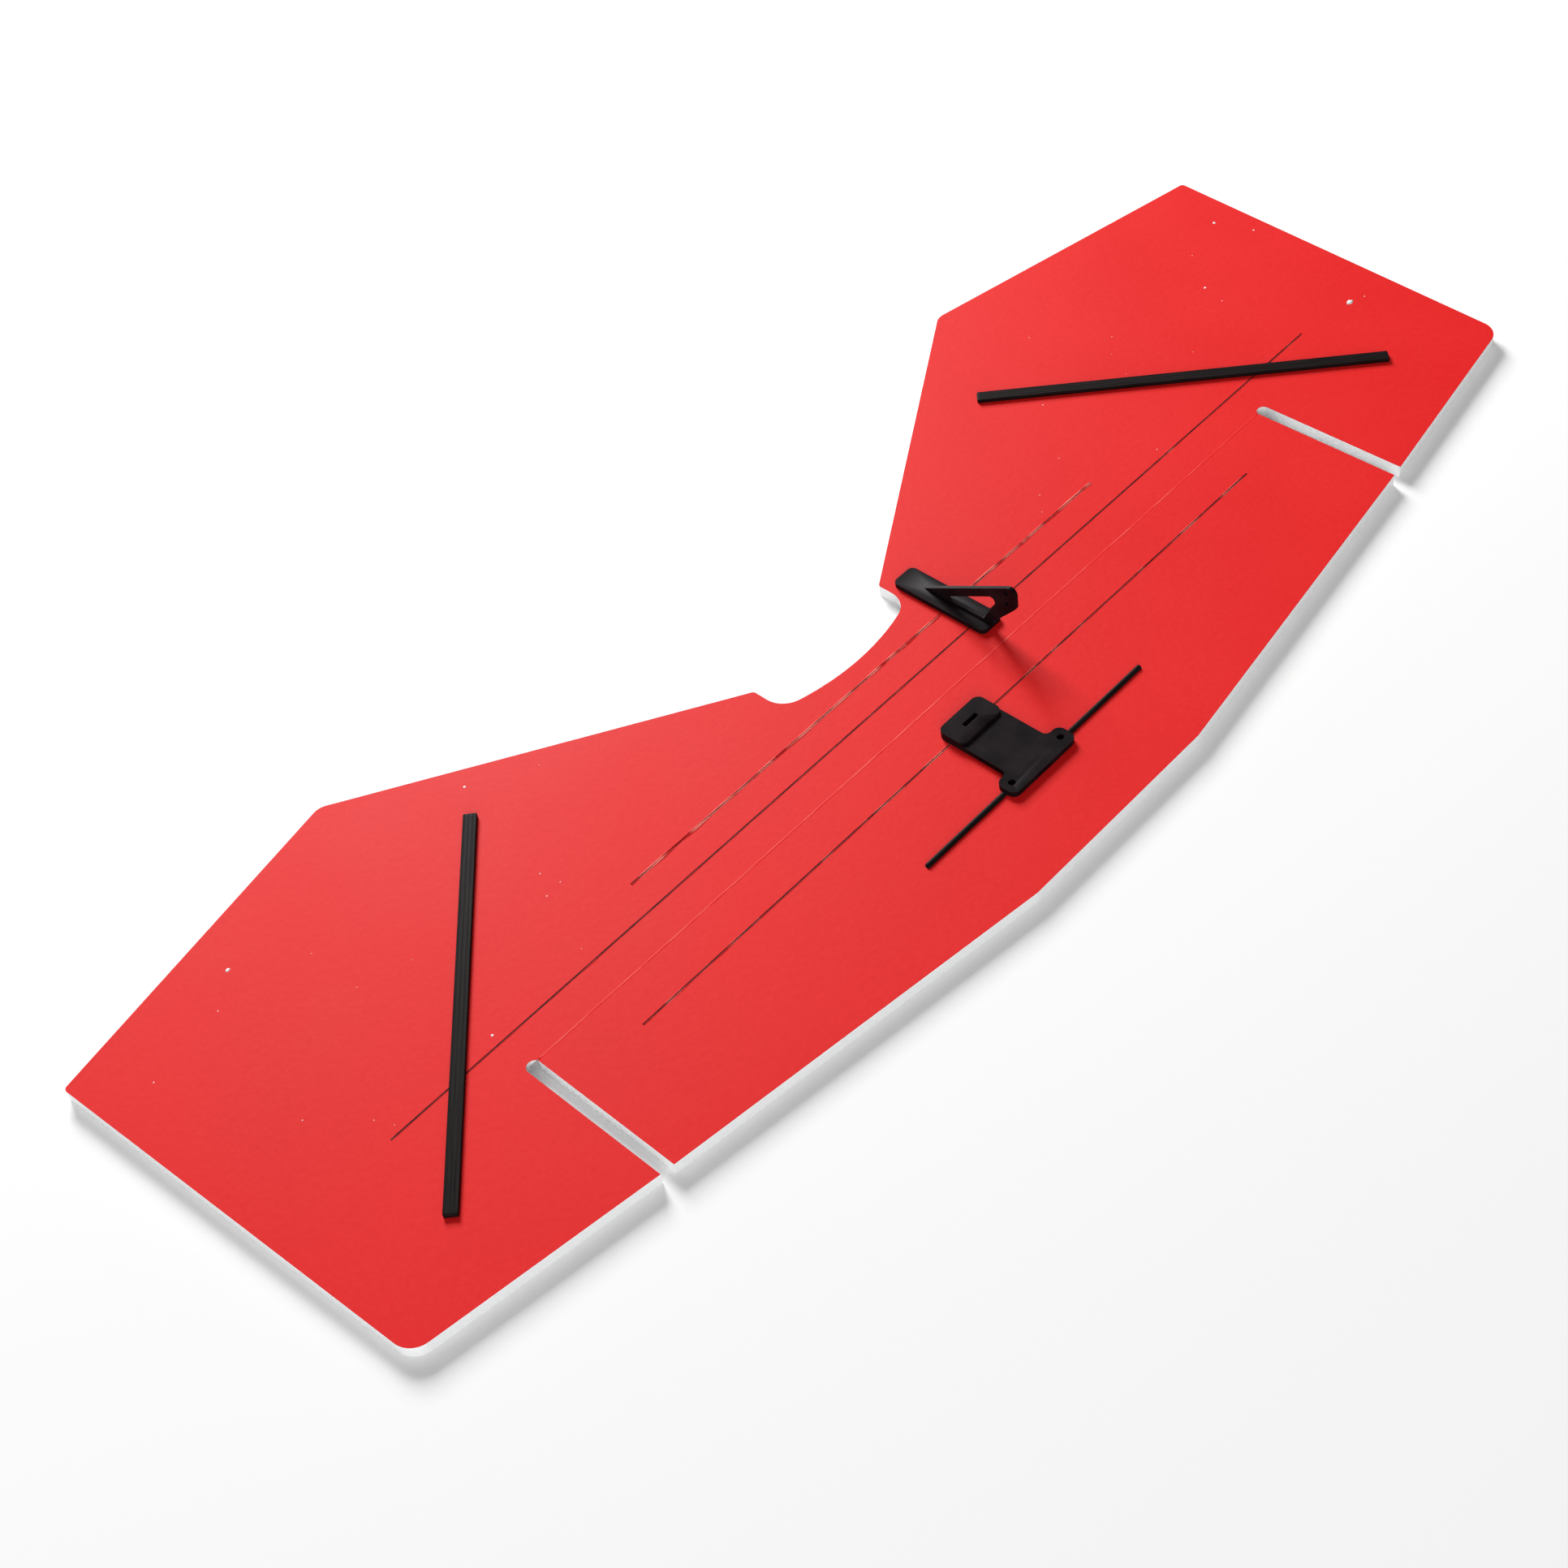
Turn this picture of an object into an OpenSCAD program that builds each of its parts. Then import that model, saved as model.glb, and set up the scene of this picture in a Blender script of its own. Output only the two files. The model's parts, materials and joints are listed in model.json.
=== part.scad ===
// Horizontal tail of a small foam model plane: a stabilizer with a balanced
// elevator, cut from one foam sheet with a coloured skin. The elevator reaches
// round both sides of the stabilizer, and bends on a living hinge in the skin.
//
// X runs along the span to the right, +Y points forward in flight, +Z is up.
// The origin is on the underside, on the centre line, below the middle of the
// mounting plate. All sizes are in millimetres.

/* [Sheet] */
// Thickness of the foam sheet
foam_t = 3; // [2:0.1:6]
// Thickness of the coloured skin on the top face
skin_t = 0.1; // [0.05:0.01:0.2]

/* [Outline] */
// Half span, at the rear corners of the tips
half_span = 180; // [165:1:240]
// Rear corner of a tip
tip_rear_y = -87.7; // [-110:0.1:-60]
// Front corner of a tip, across and forward
tip_front_x = 173.6; // [150:0.1:230]
tip_front_y = 9.5; // [0:0.1:20]
// Radius of a tip's front corner
tip_corner_r = 5; // [1:0.1:8]
// Rearmost bend of the elevator, across and forward
rear_bend_x = 101.4; // [80:0.1:130]
rear_bend_y = -104.1; // [-130:0.1:-90]
// Radius of the rearmost bend
rear_bend_r = 4; // [1:0.1:8]
// Front edge of the sheet at the slots
slot_front_y = 18.2; // [12:0.1:28]
// Half width of the straight middle of the front edge
nose_half_w = 26.3; // [15:0.1:40]
// Front edge of the sheet at the centre line
nose_y = 30.8; // [28.5:0.1:45]

/* [Rudder notch] */
// Half width between the notch's side walls
notch_half_w = 20.4; // [14:0.1:24]
// Rear end of the side walls
notch_corner_y = -52.3; // [-65:0.1:-50]
// Front of the notch, on the centre line
notch_floor_y = -40.5; // [-46:0.1:-38.5]
// Radius of the notch's shallow arc
notch_arc_r = 58.8; // [40:0.1:100]
// Radius between the arc and a side wall
notch_fillet_r = 6; // [2:0.1:8]

/* [Hinge and slots] */
// Hinge line of the elevator
hinge_y = -18.7; // [-21:0.1:-15]
// Gap between stabilizer and elevator at the hinge line
hinge_gap = 0.3; // [0.2:0.05:0.6]
// Slope of the elevator's front edge under the hinge, in degrees
hinge_bevel = 36; // [32:1:45]
// Middle of the slot between a tip and the stabilizer
slot_x = 117.9; // [105:0.1:130]
// Width of that slot
slot_w = 3.1; // [2:0.1:5]
// How far the slot's round end reaches behind the hinge line
slot_overrun = 1; // [0.6:0.1:1.4]

/* [Carbon strips in the sheet] */
// Thickness of each strip set on edge
strip_t = 0.3; // [0.2:0.05:0.6]
// Height of each strip
strip_h = 2; // [1:0.1:2.4]
// Clearance of a strip in its cut, on each side
strip_clear = 0.05; // [0.02:0.01:0.1]
// Long elevator strip, place and half length
main_strip_y = -27.4; // [-29:0.1:-26]
main_strip_half = 146.4; // [120:0.1:150]
// Short elevator strip near the notch, place and half length
notch_strip_y = -35.3; // [-37:0.1:-33]
notch_strip_half = 74.7; // [40:0.1:90]
// Stabilizer strip, place and half length
stabilizer_strip_y = -8.5; // [-11:0.1:-6]
stabilizer_strip_half = 97.8; // [60:0.1:105]

/* [Cross rod] */
// Diameter of the round rod under the mounting plate
rod_d = 1.2; // [0.8:0.1:1.6]
// Place and half length of the rod
rod_y = 9.3; // [8:0.1:9.6]
rod_half = 34.8; // [20:0.1:45]
// How far the middle of the rod stands above the skin
rod_rise = 0.1; // [0:0.05:0.2]

/* [Mounting plate] */
// Length of the plate along the centre line
plate_l = 24; // [22:0.1:30]
// Width of its neck and rear pad
plate_neck_w = 13; // [10:0.1:18]
// Width across the ears
plate_ears_w = 20.4; // [19:0.1:28]
// Length of an ear
plate_ear_l = 5.2; // [4.4:0.1:7]
// Thickness of the neck and the ears
plate_t = 1.4; // [1.3:0.1:2.6]
// Extra height of the rear pad, and its length
pad_rise = 0.6; // [0.2:0.1:1.5]
pad_l = 7.2; // [5:0.1:9]
// Corner radius of the plate
plate_corner_r = 1.8; // [0.5:0.1:2]
// Radius where an ear leaves the neck
plate_fillet_r = 1.4; // [0.4:0.1:1.8]
// Distance between the ear holes, and their diameter
ear_hole_spacing = 15.8; // [15:0.1:16.4]
ear_hole_d = 1.6; // [1:0.1:2]
// Slot in the pad, across and along
pad_slot_w = 4.2; // [3:0.1:7]
pad_slot_l = 1.1; // [0.8:0.1:2]

/* [Control horn] */
// Place of the horn across the sheet
horn_x = -25.4; // [-34:0.1:-24]
// Base strip, front end, length, width and thickness
horn_base_front_y = -23.3; // [-26:0.1:-23]
horn_base_l = 26.3; // [21:0.1:28]
horn_base_w = 6.5; // [5:0.1:9]
horn_base_t = 1.2; // [0.8:0.1:2]
// Thickness of the upright blade
horn_blade_t = 1; // [0.8:0.1:2.4]
// Height of the blade's tip above the skin
horn_h = 16.2; // [15:0.1:20]
// Length of the blade where it leaves the base
horn_root_l = 18.8; // [17:0.1:20]
// How far the tip leans forward of the hinge line
horn_lead = 2.6; // [2.4:0.1:4]
// Height of the blade's front edge below its top
horn_tip_drop = 6.3; // [6:0.1:7.5]
// Width of the blade's rim above its window
horn_rim = 2.1; // [1.8:0.1:3]
// Diameter of the pushrod holes, and the distance between them
horn_hole_d = 1.2; // [0.8:0.1:1.4]
horn_hole_pitch = 3.1; // [2.8:0.1:3.8]
// Diameter and depth of the pegs under the base
horn_peg_d = 2; // [1.5:0.1:3]
horn_peg_l = 2; // [1:0.1:2.4]

/* [Stiffeners] */
// Width and thickness of each diagonal strip on the elevator
bar_w = 3; // [2:0.1:5]
bar_t = 1; // [0.6:0.1:1.6]
// Length of each strip
bar_l = 97.4; // [80:0.1:110]
// Middle of each strip, across and forward
bar_mid_x = 116.5; // [105:0.1:130]
bar_mid_y = -40.7; // [-50:0.1:-38]
// Angle of each strip to the span, in degrees
bar_angle = 46; // [40:1:55]
// Corner radius at the strip's ends
bar_corner_r = 0.6; // [0.2:0.1:1]

/* [Hidden] */

fine = 48;
arc_steps = 12;
over = 1;

skin_z = foam_t + skin_t;
slot_inner_x = slot_x - slot_w / 2;
slot_end_y = hinge_y - slot_overrun + slot_w / 2;
sheet_far_y = nose_y + over;

notch_arc_cy = notch_floor_y - notch_arc_r;
notch_fillet_cx = notch_half_w - notch_fillet_r;
notch_fillet_cy = notch_arc_cy
    + sqrt(pow(notch_arc_r - notch_fillet_r, 2) - pow(notch_fillet_cx, 2));
notch_turn = atan2(notch_fillet_cy - notch_arc_cy, notch_fillet_cx);

plate_front_y = plate_l / 2;
plate_rear_y = -plate_l / 2;
ear_rear_y = plate_front_y - plate_ear_l;
rod_z = skin_z + rod_rise;
rod_clear = 0.05;
pad_slot_y = plate_rear_y + pad_l / 2;

horn_root_front_y = horn_base_front_y - 0.5;
horn_root_rear_y = horn_root_front_y - horn_root_l;
horn_tip_y = hinge_y + horn_lead;
horn_peg_clear = 0.05;
horn_peg_inset = 3.2;
horn_hole_z = horn_h - 2.9;
window_low = horn_base_t + 0.6;
window_front_margin = 1.8;
window_tip_margin = 4;

// A vector of length one along v
function unit(v) = v / norm(v);

// An arc about centre c, from angle a0 to angle a1
function arc(c, r, a0, a1) =
    [for (i = [0 : arc_steps]) let (a = a0 + (a1 - a0) * i / arc_steps) c + r * [cos(a), sin(a)]];

// The arc that rounds corner b, between a and c, with radius r
function rounded(a, b, c, r) =
    let (
        u = unit(a - b),
        v = unit(c - b),
        half = acos(u * v) / 2,
        centre = b + unit(u + v) * r / sin(half),
        first = b + u * r / tan(half) - centre,
        last = b + v * r / tan(half) - centre,
        a0 = atan2(first.y, first.x),
        turn = (atan2(last.y, last.x) - a0 + 540) % 360 - 180
    )
    arc(centre, r, a0, a0 + turn);

// The same points on the other side of the centre line, in reverse order
function other_side(points) = [for (i = [len(points) - 1 : -1 : 0]) [-points[i].x, points[i].y]];

// Right half of the sheet's outline, from the notch round the tip to the nose
notch_corner = [notch_half_w, notch_corner_y];
rear_bend = [rear_bend_x, rear_bend_y];
tip_rear = [half_span, tip_rear_y];
tip_front = [tip_front_x, tip_front_y];
slot_front = [slot_x, slot_front_y];
right_half = concat(
    arc([0, notch_arc_cy], notch_arc_r, 90, notch_turn),
    arc([notch_fillet_cx, notch_fillet_cy], notch_fillet_r, notch_turn, 0),
    rounded([notch_half_w, 0], notch_corner, rear_bend, 1),
    rounded(notch_corner, rear_bend, tip_rear, rear_bend_r),
    rounded(rear_bend, tip_rear, tip_front, 1),
    rounded(tip_rear, tip_front, slot_front, tip_corner_r),
    [slot_front],
    rounded(slot_front, [nose_half_w, nose_y], [0, nose_y], 3)
);

module sheet_outline() {
    polygon(concat(right_half, other_side(right_half)));
}

module stabilizer_outline() {
    intersection() {
        sheet_outline();
        translate([-slot_inner_x, hinge_y + hinge_gap / 2])
            square([2 * slot_inner_x, sheet_far_y - hinge_y]);
    }
}

module elevator_outline() {
    difference() {
        sheet_outline();
        translate([-slot_x, hinge_y - hinge_gap / 2])
            square([2 * slot_x, sheet_far_y - hinge_y]);
        for (side = [-1, 1]) translate([side * slot_x, slot_end_y]) {
            circle(d = slot_w, $fn = fine);
            translate([-slot_w / 2, 0]) square([slot_w, sheet_far_y - slot_end_y]);
        }
    }
}

// A flat piece of outline, from height z upwards
module layer(z, thickness) {
    translate([0, 0, z]) linear_extrude(thickness) children();
}

// A straight strip on edge across the centre line; grown by clear for its cut
module edge_strip(y, half, clear = 0) {
    translate([-half - clear, y - strip_t / 2 - clear, skin_z - strip_h - clear])
        cube([2 * (half + clear), strip_t + 2 * clear, strip_h + clear]);
}

// The cut that a strip is pushed into, open at the top
module strip_cut(y, half) {
    edge_strip(y, half, strip_clear);
    translate([0, 0, over]) edge_strip(y, half, strip_clear);
}

// The round rod across the centre line; grown by clear for its groove
module round_rod(clear = 0) {
    translate([-rod_half - clear, rod_y, rod_z])
        rotate([0, 90, 0])
            cylinder(d = rod_d + 2 * clear, h = 2 * (rod_half + clear), $fn = fine);
}

// Everything that is cut out of the stabilizer from above
module stabilizer_cuts() {
    strip_cut(stabilizer_strip_y, stabilizer_strip_half);
    round_rod(rod_clear);
}

// Everything that is cut out of the elevator from above
module elevator_cuts() {
    strip_cut(main_strip_y, main_strip_half);
    strip_cut(notch_strip_y, notch_strip_half);
    horn_pegs(horn_peg_clear, over);
}

// The sloping cut that lets the elevator swing down under the hinge line
module hinge_groove() {
    front = hinge_y - hinge_gap / 2 + over;
    translate([-slot_x, 0, 0])
        rotate([90, 0, 90])
            linear_extrude(2 * slot_x)
                polygon([
                    [front, -over],
                    [front - over - (foam_t + over) * tan(hinge_bevel), -over],
                    [front - over, foam_t],
                    [front, foam_t]
                ]);
}

module stabilizer_foam() {
    color("white") difference() {
        layer(0, foam_t) stabilizer_outline();
        stabilizer_cuts();
    }
}

module stabilizer_skin() {
    color("firebrick") difference() {
        layer(foam_t, skin_t) stabilizer_outline();
        stabilizer_cuts();
    }
}

module elevator_foam() {
    color("white") difference() {
        layer(0, foam_t) elevator_outline();
        hinge_groove();
        elevator_cuts();
    }
}

module elevator_skin() {
    color("firebrick") difference() {
        layer(foam_t, skin_t) elevator_outline();
        elevator_cuts();
    }
}

module stabilizer_strip() {
    color("dimgray") edge_strip(stabilizer_strip_y, stabilizer_strip_half);
}

module main_strip() {
    color("dimgray") edge_strip(main_strip_y, main_strip_half);
}

module notch_strip() {
    color("dimgray") edge_strip(notch_strip_y, notch_strip_half);
}

module cross_rod() {
    color("black") round_rod();
}

// A rectangle with round corners, from its low corner
module round_rect(low, size, r) {
    translate(low) {
        translate([r, 0]) square([size.x - 2 * r, size.y]);
        translate([0, r]) square([size.x, size.y - 2 * r]);
        for (x = [r, size.x - r], y = [r, size.y - r])
            translate([x, y]) circle(r, $fn = fine);
    }
}

module plate_outline() {
    round_rect([-plate_neck_w / 2, plate_rear_y], [plate_neck_w, plate_l], plate_corner_r);
    round_rect([-plate_ears_w / 2, ear_rear_y], [plate_ears_w, plate_ear_l], plate_corner_r);
    for (side = [0, 1]) mirror([side, 0]) translate([plate_neck_w / 2, ear_rear_y])
        difference() {
            translate([-over, -plate_fillet_r]) square([plate_fillet_r + over, plate_fillet_r + over]);
            translate([plate_fillet_r, -plate_fillet_r]) circle(plate_fillet_r, $fn = fine);
        }
}

module pad_outline() {
    round_rect([-plate_neck_w / 2, plate_rear_y], [plate_neck_w, pad_l], plate_corner_r);
}

module mounting_plate() {
    color("black") difference() {
        union() {
            layer(skin_z, plate_t) plate_outline();
            layer(skin_z, plate_t + pad_rise) pad_outline();
        }
        round_rod(rod_clear);
        for (side = [-1, 1])
            translate([side * ear_hole_spacing / 2, rod_y, rod_z])
                cylinder(d = ear_hole_d, h = plate_t + over, $fn = fine);
        translate([-pad_slot_w / 2, pad_slot_y - pad_slot_l / 2, skin_z - over])
            cube([pad_slot_w, pad_slot_l, plate_t + pad_rise + 2 * over]);
    }
}

// The horn's pegs in the foam; grown by clear, and longer at the top, for their holes
module horn_pegs(clear = 0, top = 0) {
    for (y = [(main_strip_y + notch_strip_y) / 2, horn_base_front_y - horn_base_l + horn_peg_inset])
        translate([horn_x, y, skin_z - horn_peg_l - clear])
            cylinder(d = horn_peg_d + 2 * clear, h = horn_peg_l + clear + top, $fn = fine);
}

// Side view of the blade: forward across, height above the skin upwards
blade_root_rear = [horn_root_rear_y, horn_base_t];
blade_top = [horn_tip_y, horn_h];
blade_chin = [horn_tip_y, horn_h - horn_tip_drop];
blade_root_front = [horn_root_front_y, horn_base_t];
blade_side = concat(
    [[horn_root_rear_y, 0], blade_root_rear],
    rounded(blade_root_rear, blade_top, blade_chin, 1.6),
    rounded(blade_top, blade_chin, blade_root_front, 1.2),
    [blade_root_front, [horn_root_front_y, 0]]
);

// The window under the blade's rim: a triangle with round corners
rim_slope = unit(blade_top - blade_root_rear);
rim_drop = horn_rim / rim_slope.x;
window_rear = [horn_root_rear_y + (window_low + rim_drop - horn_base_t) * rim_slope.x / rim_slope.y,
    window_low];
window_top_y = horn_tip_y - window_tip_margin;
window_top = [window_top_y,
    horn_base_t + (window_top_y - horn_root_rear_y) * rim_slope.y / rim_slope.x - rim_drop];
window_front = [horn_root_front_y - window_front_margin, window_low];
window_side = concat(
    rounded(window_front, window_rear, window_top, 0.4),
    rounded(window_rear, window_top, window_front, 1.1),
    rounded(window_top, window_front, window_rear, 0.6)
);

// Stands a side view up across the horn, with the given thickness
module upright(thickness) {
    translate([horn_x - thickness / 2, 0, skin_z])
        rotate([90, 0, 90])
            linear_extrude(thickness) children();
}

module control_horn() {
    color("black") {
        difference() {
            union() {
                layer(skin_z, horn_base_t)
                    round_rect([horn_x - horn_base_w / 2, horn_base_front_y - horn_base_l],
                               [horn_base_w, horn_base_l], 1.4);
                upright(horn_blade_t) polygon(blade_side);
                horn_pegs();
            }
            upright(horn_base_w) polygon(window_side);
            for (drop = [0, horn_hole_pitch])
                translate([horn_x - horn_blade_t, hinge_y, skin_z + horn_hole_z - drop])
                    rotate([0, 90, 0])
                        cylinder(d = horn_hole_d, h = 2 * horn_blade_t, $fn = fine);
        }
    }
}

// One diagonal strip on the elevator; side is 1 on the right and -1 on the left
module stiffener(side) {
    color("dimgray")
        translate([side * bar_mid_x, bar_mid_y, 0])
            rotate(side * bar_angle)
                layer(skin_z, bar_t)
                    round_rect([-bar_l / 2, -bar_w / 2], [bar_l, bar_w], bar_corner_r);
}

module left_stiffener() {
    stiffener(-1);
}

module right_stiffener() {
    stiffener(1);
}

stabilizer_foam();
stabilizer_skin();
stabilizer_strip();
cross_rod();
mounting_plate();
elevator_foam();
elevator_skin();
main_strip();
notch_strip();
control_horn();
left_stiffener();
right_stiffener();
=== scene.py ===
# %% [markdown]
# # A foam tailplane
#
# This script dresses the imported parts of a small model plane's horizontal tail. The tail is one
# sheet of white foam with a thin red skin. Strips of carbon are pushed into cuts in it, and black
# plastic fittings sit on top. The CAD parts give every size, so each cell below asks the frame
# where a part is, and never invents a place of its own.

import json
import math

import bmesh
import bpy
import numpy as np
from mathutils import Matrix, Vector


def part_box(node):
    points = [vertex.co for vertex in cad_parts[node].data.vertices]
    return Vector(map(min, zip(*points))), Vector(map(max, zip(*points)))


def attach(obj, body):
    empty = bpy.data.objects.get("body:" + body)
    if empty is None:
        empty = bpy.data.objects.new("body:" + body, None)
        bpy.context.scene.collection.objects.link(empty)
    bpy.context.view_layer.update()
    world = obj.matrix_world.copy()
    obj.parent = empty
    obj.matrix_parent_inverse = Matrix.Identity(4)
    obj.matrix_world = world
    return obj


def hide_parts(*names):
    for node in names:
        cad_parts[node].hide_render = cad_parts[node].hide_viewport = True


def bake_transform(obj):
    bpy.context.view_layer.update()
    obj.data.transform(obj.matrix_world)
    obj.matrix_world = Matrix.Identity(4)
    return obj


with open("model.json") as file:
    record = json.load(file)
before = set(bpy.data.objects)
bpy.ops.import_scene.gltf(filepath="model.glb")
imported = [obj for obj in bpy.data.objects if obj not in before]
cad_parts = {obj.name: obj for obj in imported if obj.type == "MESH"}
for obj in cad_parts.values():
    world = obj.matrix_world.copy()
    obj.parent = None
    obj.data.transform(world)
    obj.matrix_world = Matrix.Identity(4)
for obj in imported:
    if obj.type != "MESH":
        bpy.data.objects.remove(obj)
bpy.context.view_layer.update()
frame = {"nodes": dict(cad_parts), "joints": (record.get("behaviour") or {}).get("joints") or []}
nodes = frame["nodes"]
MM = 0.001

# %% [markdown]
# ## The camera first
#
# The tail lies flat and is seen from above its front right corner. A camera needs a place, a point
# to look at, and a roll about its own line of sight. The place and the point are lengths from the
# part's origin, so they are written in millimetres like every other length here.

# %% Camera
camera_place = Vector((245.9, 224.4, 367.8)) * MM
camera_target = Vector((35.9, -28.9, 3.1)) * MM
camera_roll = math.radians(-9.84)
camera_lens = 54.2

camera = bpy.data.objects.new("camera", bpy.data.cameras.new("camera"))
camera.data.lens = camera_lens
camera.data.clip_start = 0.01
aim = (camera_target - camera_place).to_track_quat("-Z", "Y").to_matrix()
camera.matrix_world = Matrix.Translation(camera_place) @ (
    aim @ Matrix.Rotation(camera_roll, 3, "Z")
).to_4x4()
bpy.context.scene.collection.objects.link(camera)
bpy.context.scene.camera = camera
bpy.context.scene.view_settings.view_transform = "Standard"
print("camera is", round((camera_target - camera_place).length / MM), "mm from the sheet")

# %% [markdown]
# ## Shader maths as plain expressions
#
# A material could be wired by hand, node by node, but its idea would drown in links. A small class
# wraps a socket instead, so that `1 - mask` adds the Math node for us. Everything else comes from
# one method that takes a node's type, its settings and its sockets.


# %% Sockets that can be added and multiplied
# Where a Mix node keeps its sockets when it mixes colours
MIX_FACTOR = 0
MIX_FIRST = 6
MIX_SECOND = 7
MIX_RESULT = 2


class Value:
    """A number that changes over a surface: an output socket with the usual operators."""

    def __init__(self, finish, socket):
        self.finish = finish
        self.socket = socket

    def math(self, operation, *others):
        made = self.finish.node("ShaderNodeMath", {"operation": operation})
        for place, value in enumerate(others):
            self.finish.feed(made.inputs[place], value)
        return Value(self.finish, made.outputs[0])

    def __add__(self, other):
        return self.math("ADD", self, other)

    __radd__ = __add__

    def __mul__(self, other):
        return self.math("MULTIPLY", self, other)

    __rmul__ = __mul__

    def __sub__(self, other):
        return self.math("SUBTRACT", self, other)

    def __rsub__(self, other):
        return self.math("SUBTRACT", other, self)

    def above(self, edge, soft):
        """Zero below edge, one above edge + soft, and a straight ramp between."""
        ramp = (self - edge) * (1 / soft)
        return ramp.math("MINIMUM", ramp.math("MAXIMUM", ramp, 0), 1)


class Finish:
    """A material under construction, with its shader's plain numbers set on the sockets."""

    def __init__(self, name, **plain):
        self.material = bpy.data.materials.new(name)
        self.material.use_nodes = True
        self.tree = self.material.node_tree
        self.shader = self.tree.nodes["Principled BSDF"]
        for socket, value in plain.items():
            self.shader.inputs[socket.replace("_", " ")].default_value = value

    def feed(self, socket, value):
        """Links a wrapped value or a socket, or writes a plain number or colour."""
        if isinstance(value, Value):
            value = value.socket
        if isinstance(value, bpy.types.NodeSocket):
            self.tree.links.new(value, socket)
        else:
            socket.default_value = value

    def node(self, kind, settings=None, **sockets):
        """Adds a node: its settings first, and then its sockets, named with _ for a space."""
        made = self.tree.nodes.new(kind)
        for key, value in (settings or {}).items():
            setattr(made, key, value)
        for key, value in sockets.items():
            self.feed(made.inputs[key.replace("_", " ")], value)
        return made

    def place(self, stretch=(1, 1, 1), source="Object"):
        """Where on the piece we are, in metres, multiplied by stretch along each axis."""
        where = self.node("ShaderNodeTexCoord").outputs[source]
        scaled = self.node("ShaderNodeVectorMath", {"operation": "MULTIPLY"})
        self.feed(scaled.inputs[0], where)
        self.feed(scaled.inputs[1], stretch)
        return scaled.outputs[0]

    def across(self, axis):
        """One coordinate of the place on the piece, in metres."""
        made = self.node("ShaderNodeSeparateXYZ", None, Vector=self.place())
        return Value(self, made.outputs[axis])

    def noise(self, size, detail=2.0, where=None):
        """Cloudy noise from 0 to 1 whose blobs are about size metres across."""
        vector = where or self.place()
        made = self.node("ShaderNodeTexNoise", None, Vector=vector, Scale=1 / size, Detail=detail)
        return Value(self, made.outputs["Fac"])

    def cells(self, size):
        """Distance to the nearest cell centre, for beads about size metres across."""
        made = self.node("ShaderNodeTexVoronoi", None, Vector=self.place(), Scale=1 / size)
        return Value(self, made.outputs["Distance"])

    def mix(self, factor, first, second):
        """A colour between first and second."""
        made = self.node("ShaderNodeMix", {"data_type": "RGBA"})
        self.feed(made.inputs[MIX_FACTOR], factor)
        self.feed(made.inputs[MIX_FIRST], first)
        self.feed(made.inputs[MIX_SECOND], second)
        return made.outputs[MIX_RESULT]

    def bump(self, height, depth, strength=1.0):
        """Normals tilted by a height from 0 to 1 that is worth depth metres."""
        made = self.node("ShaderNodeBump", None, Height=height, Distance=depth, Strength=strength)
        self.feed(self.shader.inputs["Normal"], made.outputs[0])

    def paint(self, colour=None, roughness=None):
        """Feeds the colour and the roughness to the shader."""
        if colour is not None:
            self.feed(self.shader.inputs["Base Color"], colour)
        if roughness is not None:
            self.feed(self.shader.inputs["Roughness"], roughness)
        return self.material


# %% [markdown]
# ## Red skin
#
# The skin is a printed film bonded to foam. It looks flat red from far off, but close up it has a
# fine mottle where the foam's beads press through, and slow patches where it took the heat of the
# press a little differently. Three sizes of noise give that: beads, grain and patches. All of them
# are weak, because the eye reads them as texture long before it sees a pattern.


# %% Red skin
def red_skin():
    """Red film: patches and grain mix two reds, and the beads under it tilt the surface."""
    skin = Finish("skin_red", Specular_IOR_Level=0.15)
    patches = skin.noise(45 * MM, 3)
    grain = skin.noise(0.9 * MM, 3)
    mottle = patches.above(0.3, 0.4) * 0.55 + grain.above(0.3, 0.4) * 0.45
    beads = skin.cells(1.6 * MM)
    skin.bump(beads * 0.6 + grain * 0.4, 0.05 * MM, 0.35)
    colour = skin.mix(mottle, (0.74, 0.006, 0.006, 1), (0.81, 0.014, 0.014, 1))
    return skin.paint(colour, 0.48 + patches * 0.16)


skin_red = red_skin()
print("made", skin_red.name)

# %% [markdown]
# ## White foam
#
# Where the sheet is cut, the knife leaves closed cells open. Small Voronoi cells make the pits, and
# a coarser noise makes the drag of the knife. The colour stays a little below white, so that the
# edge still has shade under a soft light.


# %% White foam
def white_foam():
    """Cut foam: pits from cells, drag from noise, and slightly grey low spots."""
    foam = Finish("foam_white", Specular_IOR_Level=0.2)
    pits = foam.cells(0.55 * MM)
    drag = foam.noise(2.4 * MM, 3, foam.place((1, 1, 5)))
    foam.bump(pits * 0.7 + drag * 0.3, 0.12 * MM, 0.6)
    low = (1 - pits).above(0.45, 0.5) * 0.5 + drag.above(0.35, 0.4) * 0.5
    return foam.paint(foam.mix(low, (0.86, 0.87, 0.88, 1), (0.95, 0.95, 0.94, 1)), 0.72)


foam_white = white_foam()

# %% [markdown]
# ## Carbon and black plastic
#
# Pultruded carbon has straight fibres, so its noise is squeezed along the strip. On a diagonal
# strip the object's own X and Y run askew to the fibres, and the pattern follows the piece's UV
# map instead, where U is the length. Moulded nylon has no direction: a slow change in roughness,
# from the mould's skin, is enough to break up its highlights. The strips that stand on edge in the
# sheet are carbon too, but torn red film half covers their tops.


# %% Carbon and black plastic
# Squeezes a pattern along the fibres
FIBRE_STRETCH = (0.02, 1, 1)


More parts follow.
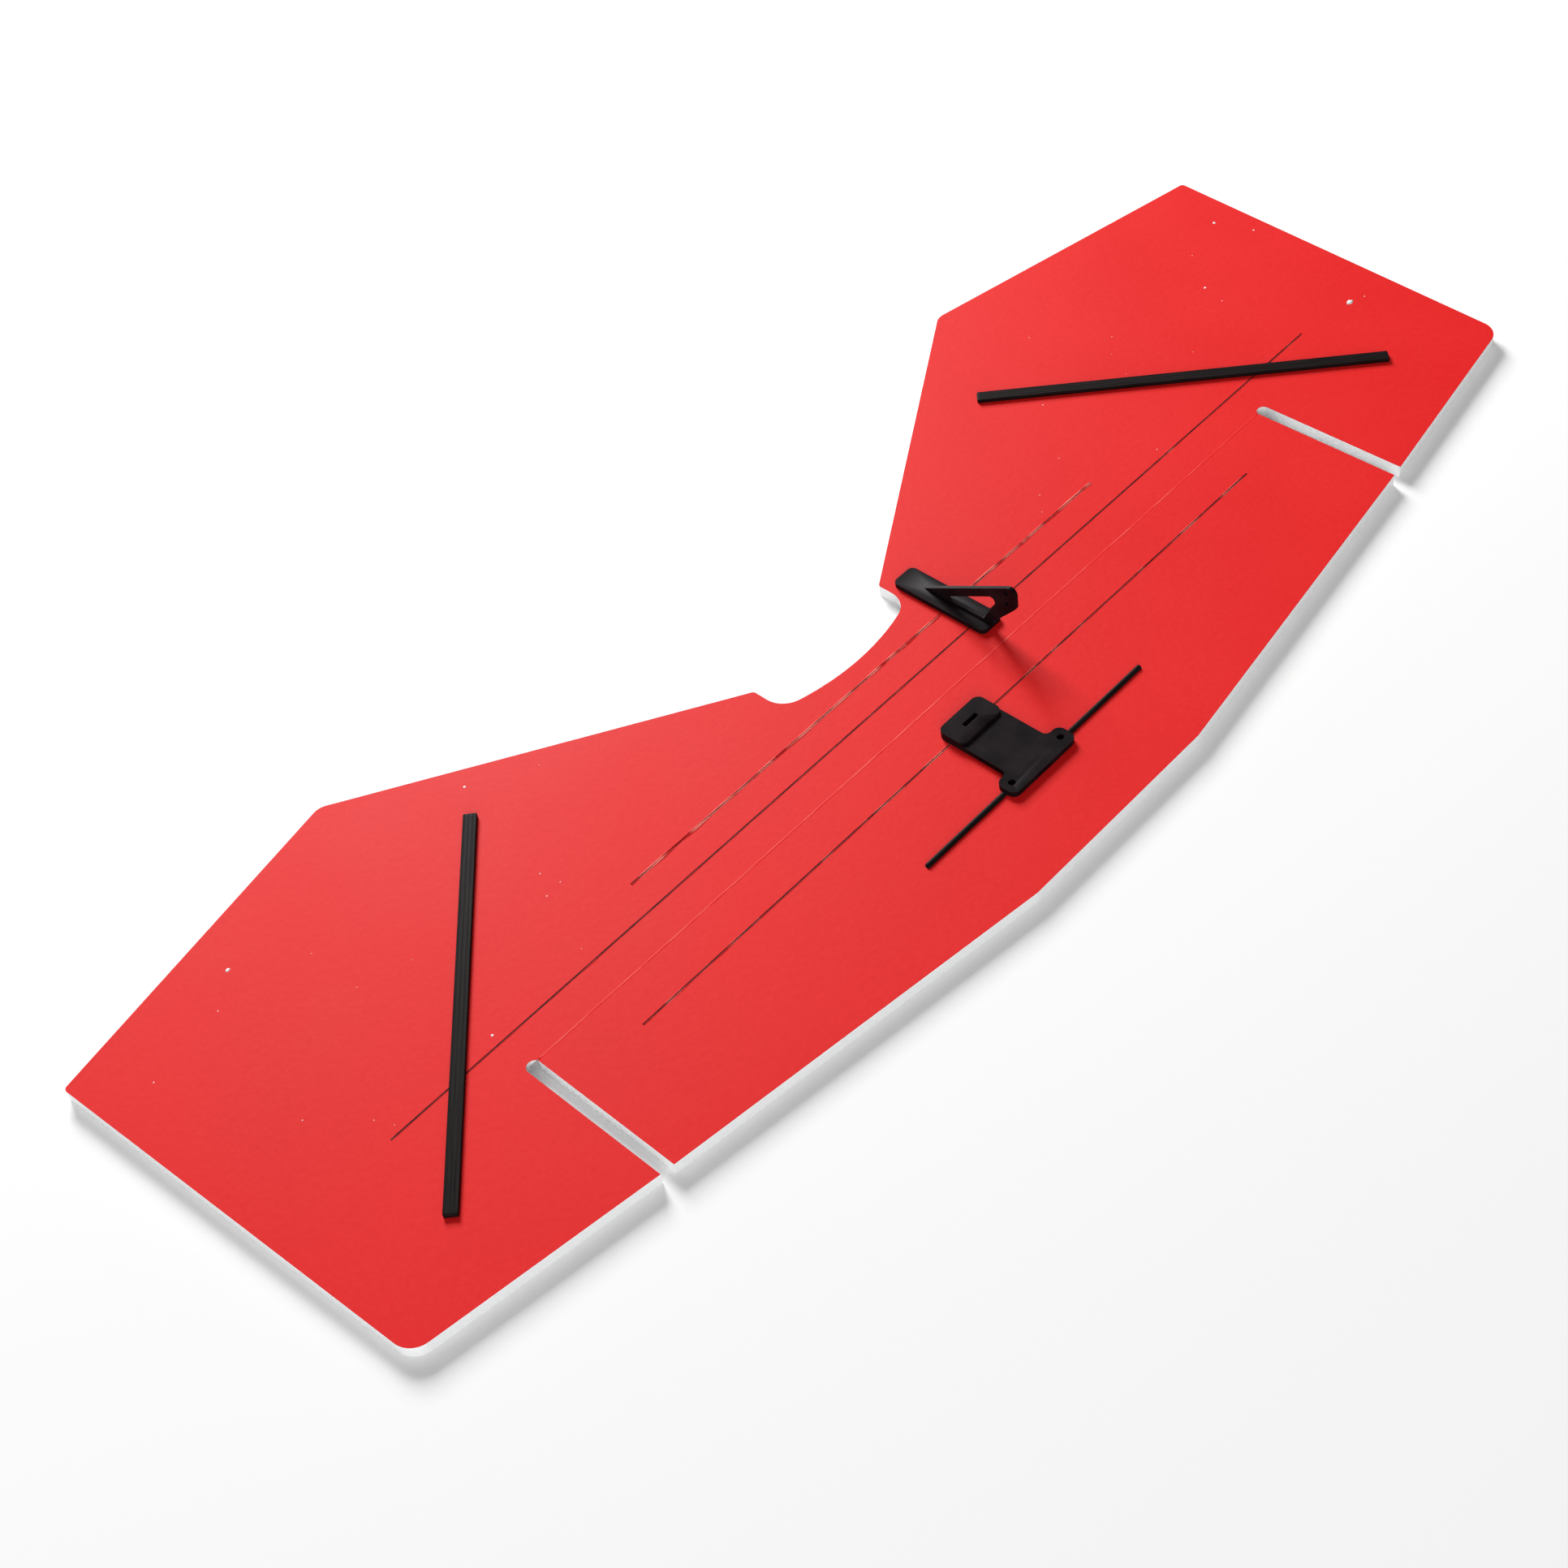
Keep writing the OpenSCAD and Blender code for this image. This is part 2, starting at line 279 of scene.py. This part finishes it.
def carbon(name, source):
    """Dark satin strip with fibres along the first axis of source."""
    made = Finish(name, Specular_IOR_Level=0.05)
    fibres = made.noise(0.22 * MM, 2, made.place(FIBRE_STRETCH, source))
    streaks = made.noise(0.8 * MM, 2, made.place(FIBRE_STRETCH, source))
    colour = made.mix(fibres.above(0.35, 0.3), (0.004, 0.003, 0.003, 1), (0.016, 0.011, 0.011, 1))
    made.bump(fibres, 0.02 * MM, 0.5)
    return made.paint(colour, 0.40 + streaks * 0.2)


def black_plastic():
    """Moulded nylon: nearly black, with a faint orange peel and uneven gloss."""
    nylon = Finish("plastic_black", Specular_IOR_Level=0.05)
    peel = nylon.noise(0.5 * MM, 2)
    flow = nylon.noise(5 * MM, 3)
    nylon.bump(peel, 0.015 * MM, 0.5)
    colour = nylon.mix(flow.above(0.35, 0.3), (0.005, 0.003, 0.004, 1), (0.012, 0.007, 0.008, 1))
    return nylon.paint(colour, 0.36 + flow * 0.16)


def carbon_in_cut():
    """Top edge of a strip that the torn film half covers: dark red, and darker in streaks."""
    edge = Finish("carbon_in_cut", Specular_IOR_Level=0.1, Roughness=0.6)
    smear = edge.noise(4 * MM, 4, edge.place((1, 0.3, 0.3)))
    colour = edge.mix(smear.above(0.38, 0.3), (0.02, 0.003, 0.003, 1), (0.16, 0.010, 0.010, 1))
    return edge.paint(colour)


carbon_flat = carbon("carbon_along_x", "Object")
carbon_strip = carbon("carbon_along_uv", "UV")
strip_edge = carbon_in_cut()
plastic = black_plastic()

# %% [markdown]
# ## Parts that keep their CAD shape
#
# The sheet's outline, its slots and its cuts are exact in the CAD parts already, and a flat sheet
# needs no rounder form. These nodes stay as they are and only take a finish.

# %% Finishes on the CAD parts
KEPT = {
    "stabilizer_foam": foam_white,
    "elevator_foam": foam_white,
    "stabilizer_skin": skin_red,
    "elevator_skin": skin_red,
    "stabilizer_strip": strip_edge,
    "main_strip": strip_edge,
    "notch_strip": strip_edge,
}
for node_name, finish in KEPT.items():
    slots = nodes[node_name].data.materials
    slots.clear()
    slots.append(finish)
print("kept", len(KEPT), "CAD parts")

# %% [markdown]
# ## A profile carried along a path
#
# Most of the small parts are long and thin. Each is a grid of points: one ring of the profile for
# each step of the path. The rings are computed as one array, and the two ends close with a fan
# round a middle point, so the mesh has no open rim.


# %% Sweep a profile
def grid_faces(rings, around):
    """Quads between neighbouring rings, and a fan of triangles at each end."""
    ring, spot = np.meshgrid(np.arange(rings - 1), np.arange(around), indexing="ij")
    low = ring * around + spot
    turn = ring * around + (spot + 1) % around
    quads = np.stack([low, turn, turn + around, low + around], -1).reshape(-1, 4)
    here = np.arange(around)
    after = (here + 1) % around
    last = (rings - 1) * around
    start = np.stack([after, here, np.full(around, rings * around)], -1)
    end = np.stack([last + here, last + after, np.full(around, rings * around + 1)], -1)
    return quads.tolist() + start.tolist() + end.tolist()


def round_normals(mesh):
    """Turns every face of a closed mesh outwards."""
    work = bmesh.new()
    work.from_mesh(mesh)
    bmesh.ops.recalc_face_normals(work, faces=work.faces)
    work.to_mesh(mesh)
    work.free()


def new_piece(name, points, faces, material, body):
    """Makes a mesh from arrays, gives it a finish, and lets it ride on a body if one is named."""
    mesh = bpy.data.meshes.new(name)
    mesh.from_pydata(np.asarray(points).tolist(), [], faces)
    mesh.materials.append(material)
    obj = bpy.data.objects.new(name, mesh)
    bpy.context.scene.collection.objects.link(obj)
    round_normals(mesh)
    mesh.shade_smooth()
    if body:
        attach(obj, body)
    return obj


def sweep(profile, path, across, scale):
    """Points of a profile (k, 2) set across a path (m, 3), shrunk by scale at each step.

    Point = path + scale * (profile's first number * across + second number * up).
    The last two points are the middles of the two end rings.
    """
    across = np.asarray(across, float)
    up = np.array([0.0, 0.0, 1.0])
    ring = profile[:, :1] * across + profile[:, 1:] * up
    points = path[:, None, :] + scale[:, None, None] * ring[None]
    ends = points[[0, -1]].mean(1)
    return np.concatenate([points.reshape(-1, 3), ends])


# Places along a rounded end, and the share of the profile that is left at its tip
END_STEPS = 7
END_SHARE = 0.2


def rounded_ends(length, radius, steps):
    """Places from 0 to length, crowded at both ends, and the share of the profile left there.

    The share follows a quarter circle: sqrt(1 - (1 - s)^2), where s is the distance from the end
    over the radius, and it never falls under END_SHARE.
    """
    close = radius * (1 - np.cos(np.linspace(0, math.pi / 2, END_STEPS)))
    middle = np.linspace(radius, length - radius, steps)[1:-1]
    places = np.concatenate([close, middle, length - close[::-1]])
    s = np.clip(np.minimum(places, length - places) / radius, 0, 1)
    return places, END_SHARE + (1 - END_SHARE) * np.sqrt(1 - (1 - s) ** 2)


# %% [markdown]
# ## Cross rod
#
# The rod is round carbon, about half as thick as a match. A plain cylinder has sharp, dead
# ends. The real rod was cut and its ends rubbed down, so the circle shrinks along a quarter of a
# round at both ends.


# %% Cross rod
ROD_END_ROUND = 0.5 * MM
ROD_STEPS = 60
ROD_SIDES = 24


def cross_rod():
    """A round rod along X in the place of its CAD part."""
    low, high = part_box("cross_rod")
    radius = (high.z - low.z) / 2
    middle = (low + high) / 2
    places, share = rounded_ends(high.x - low.x, ROD_END_ROUND, ROD_STEPS)
    path = np.zeros((len(places), 3))
    path[:, 0] = low.x + places
    path[:, 1] = middle.y
    path[:, 2] = middle.z
    turn = np.linspace(0, 2 * math.pi, ROD_SIDES, endpoint=False)
    profile = radius * np.stack([np.cos(turn), np.sin(turn)], -1)
    points = sweep(profile, path, (0, 1, 0), share)
    faces = grid_faces(len(path), len(turn))
    rod = new_piece("cross_rod_round", points, faces, carbon_flat, "stabilizer")
    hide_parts("cross_rod")
    return rod


rod = cross_rod()
print("cross rod", round(rod.dimensions.x / MM, 1), "mm long")

# %% [markdown]
# ## Diagonal stiffeners
#
# Each stiffener is a flat carbon strip with shallow grooves along its top, left by the die that it
# was pulled through. Its direction is found from its CAD part: the strip's longest direction is
# the first singular vector of its points. The grooves are a cosine across the width.

# %% Stiffeners
GROOVES = 3
GROOVE_DEPTH = 0.04 * MM
EDGE_ROUND = 0.16 * MM
BAR_END_ROUND = 0.35 * MM
BAR_STEPS = 120
# The rounding of an end shrinks the strip's section towards this share
BAR_END_SHARE = 0.75


def strip_profile(width, height):
    """Half round corners and a grooved top: height - depth * (0.5 - 0.5 cos(2 pi n u))."""
    corner = np.linspace(0, math.pi / 2, 5)
    top = np.linspace(-1, 1, 43)[1:-1]
    half = width / 2 - EDGE_ROUND
    waves = 0.5 - 0.5 * np.cos(math.pi * GROOVES * (top + 1))
    right = np.stack(
        [half + EDGE_ROUND * np.cos(corner), height - EDGE_ROUND * (1 - np.sin(corner))], -1
    )
    crown = np.stack([-top * half, height - GROOVE_DEPTH * waves], -1)
    left = right[::-1] * (-1, 1)
    base = np.array([[-width / 2, 0.0], [0.0, 0.0], [width / 2, 0.0]])
    return np.concatenate([right, crown, left, base])


def long_axis(node_name):
    """Middle and longest direction of a CAD part, from its points."""
    points = np.array([v.co for v in nodes[node_name].data.vertices])
    middle = (points.min(0) + points.max(0)) / 2
    along = np.linalg.svd(points - middle, full_matrices=False)[2][0]
    along[2] = 0
    return points, middle, along / np.linalg.norm(along)


def stiffener(side):
    """The grooved strip of one side, laid along its CAD part."""
    node_name = side + "_stiffener"
    points, middle, along = long_axis(node_name)
    across = np.cross([0.0, 0.0, 1.0], along)
    reach = (points - middle) @ along
    width = np.ptp((points - middle) @ across)
    low, high = points[:, 2].min(), points[:, 2].max()
    places, share = rounded_ends(np.ptp(reach), BAR_END_ROUND, BAR_STEPS)
    path = middle + (places[:, None] + reach.min()) * along
    path[:, 2] = low
    profile = strip_profile(width, high - low)
    mesh_points = sweep(profile, path, across, BAR_END_SHARE + (1 - BAR_END_SHARE) * share)
    faces = grid_faces(len(path), len(profile))
    strip = new_piece(node_name + "_grooved", mesh_points, faces, carbon_strip, "elevator")
    length_uv(strip, along, across)
    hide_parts(node_name)
    return strip


def length_uv(obj, along, across):
    """A UV map in metres: U runs along the strip, V across it."""
    mesh = obj.data
    layer = mesh.uv_layers.new(name="UVMap")
    corner = np.zeros(len(mesh.loops), int)
    mesh.loops.foreach_get("vertex_index", corner)
    points = np.array([v.co for v in mesh.vertices])[corner]
    uv = np.stack([points @ along, points @ across + points[:, 2]], -1)
    layer.data.foreach_set("uv", uv.astype(np.float32).ravel())


stiffeners = [stiffener(side) for side in ("left", "right")]
print("stiffeners have", len(stiffeners[0].data.polygons), "faces each")

# %% [markdown]
# ## Moulded fittings
#
# The mounting plate and the control horn come out of a mould, and no mould leaves a knife edge. A
# copy of each CAD part is merged and its flat faces joined, and then a Bevel rounds every edge that
# turns sharply. The rounding only takes material away, so the copy stays inside its CAD part.


# %% Mounting plate and control horn
MERGE_DISTANCE = 0.002 * MM
FLAT_ANGLE = math.radians(1)
ROUNDED_ANGLE = math.radians(35)
SHARP_ANGLE = math.radians(40)


def moulded(node_name, body, rounding):
    """A copy of a CAD part in black plastic, with its edges rounded by the given width."""
    mesh = nodes[node_name].data.copy()
    work = bmesh.new()
    work.from_mesh(mesh)
    bmesh.ops.remove_doubles(work, verts=work.verts, dist=MERGE_DISTANCE)
    bmesh.ops.dissolve_limit(work, angle_limit=FLAT_ANGLE, verts=work.verts, edges=work.edges)
    work.to_mesh(mesh)
    work.free()
    mesh.materials.clear()
    mesh.materials.append(plastic)
    obj = bpy.data.objects.new(node_name + "_moulded", mesh)
    bpy.context.scene.collection.objects.link(obj)
    bevel = obj.modifiers.new("rounding", "BEVEL")
    bevel.width = rounding
    bevel.segments = 3
    bevel.limit_method = "ANGLE"
    bevel.angle_limit = ROUNDED_ANGLE
    bevel.use_clamp_overlap = True
    mesh.shade_smooth()
    mesh.set_sharp_from_angle(angle=SHARP_ANGLE)
    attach(obj, body)
    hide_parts(node_name)
    return obj


moulded("mounting_plate", "stabilizer", 0.28 * MM)
moulded("control_horn", "elevator", 0.18 * MM)

# %% [markdown]
# ## The crease of the living hinge
#
# The elevator bends where the foam is scored from below and only the skin is left. On top that
# shows as one faint, uneven, paler line. It could be painted, but the two skins part a little as
# the elevator moves, so a thin closed ribbon covers the line. The ribbon rides on no body and stays
# still.


# %% Hinge crease
WAVES = 5


def wobble(x, wavelength, seed):
    """A smooth random curve from about -1 to 1: a few sine waves with seeded phases."""
    draw = np.random.default_rng(seed)
    phases = draw.uniform(0, 2 * math.pi, WAVES)
    rates = 2 * math.pi / wavelength * draw.uniform(0.4, 1.8, WAVES)
    return np.sin(x[:, None] * rates + phases).mean(1) * 1.6


def bent_skin():
    """Skin red, with short pale streaks close to the hinge line."""
    bent = Finish("skin_crease", Specular_IOR_Level=0.15)
    hinge_y = frame["joints"][0]["pos_m"][1]
    off = bent.across("Y") - hinge_y
    near = 1 - off.math("ABSOLUTE", off).above(0.05 * MM, 0.08 * MM)
    streak = bent.noise(7 * MM, 5, bent.place((1, 0.1, 0.1))).above(0.46, 0.16)
    # pale streaks are mixed in only within a hair's width of the hinge line
    colour = bent.mix(near * streak * 0.5, (0.78, 0.010, 0.010, 1), (0.88, 0.22, 0.19, 1))
    return bent.paint(colour, 0.55)


CREASE_STEPS = 460
CREASE_LINES = 15


def hinge_crease():
    """A ribbon across the gap: a flat base, and a ridge exp(-(y / width)^2) on top."""
    low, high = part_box("stabilizer_skin")
    hinge = frame["joints"][0]["pos_m"]
    half = 0.36 * MM
    lift = 0.02 * MM
    ridge_width = 0.10 * MM
    ridge_height = 0.05 * MM
    inset = 0.2 * MM
    sunk = 0.01 * MM
    root = 0.05 * MM
    x = np.linspace(low.x + inset, high.x - inset, CREASE_STEPS)
    y = np.linspace(-half, half, CREASE_LINES)
    uneven = 0.65 + 0.35 * wobble(x, 9 * MM, 3)
    drift = 0.05 * MM * wobble(x, 24 * MM, 4)
    rise = ridge_height * uneven[:, None] * np.exp(
        -(((y[None] - drift[:, None]) / ridge_width) ** 2)
    )
    top = np.empty((len(x), len(y), 3))
    top[..., 0] = x[:, None]
    top[..., 1] = hinge[1] + y
    edge = 1 - (np.abs(y) / half) ** 4
    top[..., 2] = high.z + lift * edge - sunk + rise
    base = top[:, ::-1].copy()
    base[..., 2] = high.z - root
    rings = np.concatenate([top, base], 1)
    ends = rings[[0, -1]].mean(1)
    points = np.concatenate([rings.reshape(-1, 3), ends])
    faces = grid_faces(len(x), 2 * len(y))
    ribbon = new_piece("hinge_crease", points, faces, crease_red, None)
    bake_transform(ribbon)
    return ribbon


crease_red = bent_skin()
crease = hinge_crease()
print("the crease rises", round((crease.dimensions.z) / MM, 2), "mm in all")

# %% [markdown]
# ## Torn lips along the cuts
#
# A knife that opens a cut for a carbon strip lifts the skin a little on both sides, and the lifted
# film catches the light as a pale thread beside the dark strip. That thread is a painted highlight:
# the lips' colour turns pale pink along stretches of each lip. Each lip is a hair-thin ridge whose
# height wanders along the cut. The cut beside the notch was torn most, so its lips are the largest,
# and their painted highlight runs for most of their length. Lips are meshes, because a bump can't
# cast the tiny shadow that separates film from strip.


# %% Lips of the cuts
LIP_STEPS = 420
LIP_SIDES = 8
LIP_OFFSET = 0.07 * MM
# The least share of its full size that a lip shrinks to
LIP_LEAST = 0.12


def lip_film_painted_highlight(name, edge):
    """Lip film: red, with a painted highlight in pale pink where the noise rises above edge."""
    film = Finish(name, Specular_IOR_Level=0.15)
    highlight_noise = film.noise(8 * MM, 4, film.place((1, 0.2, 0.2)))
    # the pale pink is a painted highlight along the lifted film, and the red is the film itself
    colour = film.mix(highlight_noise.above(edge, 0.12), (0.62, 0.010, 0.010, 1), (0.92, 0.22, 0.18, 1))
    return film.paint(colour, 0.55)


def cut_lips(strip_node, body, height, lip_film_and_highlight, seed):
    """Two ridges beside a strip: thin rounds whose size follows a wobble."""
    low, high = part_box(strip_node)
    x = np.linspace(low.x, high.x, LIP_STEPS)
    turn = np.linspace(0, 2 * math.pi, LIP_SIDES, endpoint=False)
    profile = np.stack([np.cos(turn), np.sin(turn)], -1)
    points, faces, count = [], [], 0
    for side, start_y in ((-1, low.y), (1, high.y)):
        uneven = 0.7 + 0.4 * wobble(x, 17 * MM, seed + side)
        path = np.zeros((len(x), 3))
        path[:, 0] = x
        path[:, 1] = start_y + side * LIP_OFFSET
        path[:, 2] = high.z
        size = height * np.clip(uneven, LIP_LEAST, None)
        made = sweep(profile, path, (0, 1, 0), size)
        points.append(made)
        faces += [[i + count for i in face] for face in grid_faces(len(x), len(turn))]
        count += len(made)
    name = strip_node + "_lips"
    return new_piece(name, np.concatenate(points), faces, lip_film_and_highlight, body)


# each cut's lips carry a painted highlight in pale pink, over more or less of their length
cut_lips("main_strip", "elevator", 0.07 * MM, lip_film_painted_highlight("skin_torn_little", 0.62), 11)
cut_lips("notch_strip", "elevator", 0.17 * MM, lip_film_painted_highlight("skin_torn_most", 0.42), 21)
cut_lips("stabilizer_strip", "stabilizer", 0.09 * MM, lip_film_painted_highlight("skin_torn_half", 0.50), 31)

# %% [markdown]
# ## Chips in the skin
#
# A handled tail loses specks of film, and the white foam shows. The larger chips are placed one by
# one, and a seeded draw scatters the rest. Every chip is a low dome with an uneven rim, so it
# reads as a raised flake at any angle.

# %% Chips
# Across, forward and radius of each larger chip, in millimetres
CHIPS = [
    (-163, -25, 1.05),
    (141, -85, 0.55),
    (-171, -71, 0.5),
    (-148, -57, 0.4),
    (78, -83, 0.4),
    (-174, -61, 0.3),
    (118, -30, 0.35),
]
SCATTERED = 26
RIM_POINTS = 9
# How far a chip is longer across the sheet than along it
CHIP_STRETCH = 1.25


def chips():
    """Flakes: a crown, a sole, and a rim of points whose radius wanders by up to a third."""
    draw = np.random.default_rng(7)
    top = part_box("elevator_skin")[1].z
    loose = np.stack(
        [
            draw.uniform(60, 168, SCATTERED) * draw.choice([-1, 1], SCATTERED),
            draw.uniform(-84, -22, SCATTERED),
            draw.uniform(0.10, 0.22, SCATTERED),
        ],
        -1,
    )
    spots = np.concatenate([np.array(CHIPS), loose]) * MM
    rim = RIM_POINTS
    rim_sunk = 0.02 * MM
    sole_sunk = 0.03 * MM
    rise = 0.05 * MM
    dome = 0.06
    turn = np.linspace(0, 2 * math.pi, rim, endpoint=False)
    radius = spots[:, 2:3] * draw.uniform(0.67, 1.15, (len(spots), rim))
    edge = np.stack(
        [
            spots[:, :1] + radius * np.cos(turn) * CHIP_STRETCH,
            spots[:, 1:2] + radius * np.sin(turn),
            np.full_like(radius, top - rim_sunk),
        ],
        -1,
    )
    crown = np.stack([spots[:, 0], spots[:, 1], top + rise + spots[:, 2] * dome], -1)
    sole = np.stack([spots[:, 0], spots[:, 1], np.full(len(spots), top - sole_sunk)], -1)
    points = np.concatenate([edge, crown[:, None], sole[:, None]], 1)
    here = np.arange(rim)
    upper = np.stack([here, (here + 1) % rim, np.full(rim, rim)], -1)
    lower = np.stack([(here + 1) % rim, here, np.full(rim, rim + 1)], -1)
    one = np.concatenate([upper, lower])
    faces = (one[None] + (np.arange(len(spots)) * (rim + 2))[:, None, None]).reshape(-1, 3)
    return new_piece(
        "skin_chips", points.reshape(-1, 3), faces.tolist(), foam_white, "elevator"
    )


chips()
print("scattered", SCATTERED, "small chips among", len(CHIPS), "larger ones")

# %% [markdown]
# ## Floor and light
#
# The ground is plain and nearly white, and has to keep the soft shadow beside the near edges. The
# floor is therefore an ordinary matt surface, with a little light of its own that only the camera
# and glossy surfaces see, to lift it to white. The key lamp stands low behind the tail, so the
# sheet's shadow falls towards the camera. A wide lamp on the camera's side keeps the cut edges
# white, and the world fills the rest.

# %% Floor
FLOOR_SIZE = 6.0
FLOOR_DROP = 0.02 * MM


def floor():
    """A square of matt floor just under the tail."""
    half = FLOOR_SIZE / 2
    corners = [(-half, -half), (half, -half), (half, half), (-half, half)]
    mesh = bpy.data.meshes.new("floor")
    mesh.from_pydata([(x, y, -FLOOR_DROP) for x, y in corners], [], [(0, 1, 2, 3)])
    ground = Finish("floor_white", Roughness=0.9, Specular_IOR_Level=0.0)
    ground.paint((0.93, 0.93, 0.93, 1))
    path = ground.node("ShaderNodeLightPath")
    seen = Value(ground, path.outputs["Is Camera Ray"])
    seen = seen.math("MAXIMUM", seen, Value(ground, path.outputs["Is Glossy Ray"]))
    glow = ground.node("ShaderNodeEmission", None, Strength=seen * 0.06)
    both = ground.node("ShaderNodeAddShader")
    ground.feed(both.inputs[0], ground.shader.outputs[0])
    ground.feed(both.inputs[1], glow.outputs[0])
    ground.feed(ground.tree.nodes["Material Output"].inputs["Surface"], both.outputs[0])
    mesh.materials.append(ground.material)
    obj = bpy.data.objects.new("floor", mesh)
    bpy.context.scene.collection.objects.link(obj)


floor()


# %% Lamps and world
def lamp(name, place, size, power):
    """A square lamp at place, in metres, that faces the middle of the tail."""
    data = bpy.data.lights.new(name, "AREA")
    data.size = size
    data.energy = power
    obj = bpy.data.objects.new(name, data)
    at = Vector(place)
    turn = (Vector((0, -0.03, 0)) - at).to_track_quat("-Z", "Y").to_matrix().to_4x4()
    obj.matrix_world = Matrix.Translation(at) @ turn
    bpy.context.scene.collection.objects.link(obj)


lamp("key", (-0.55, -1.3, 0.75), 0.6, 37)
lamp("fill", (1.2, 1.2, 0.6), 1.4, 23)

world = bpy.data.worlds.new("room")
world.use_nodes = True
bpy.context.scene.world = world
sky = world.node_tree
seen = sky.nodes.new("ShaderNodeLightPath")
ambient = sky.nodes["Background"]
ambient.inputs["Strength"].default_value = 0.15
backdrop = sky.nodes.new("ShaderNodeBackground")
for background in (ambient, backdrop):
    background.inputs["Color"].default_value = (1, 1, 1, 1)
choose = sky.nodes.new("ShaderNodeMixShader")
sky.links.new(seen.outputs["Is Camera Ray"], choose.inputs[0])
sky.links.new(ambient.outputs[0], choose.inputs[1])
sky.links.new(backdrop.outputs[0], choose.inputs[2])
sky.links.new(choose.outputs[0], sky.nodes["World Output"].inputs["Surface"])
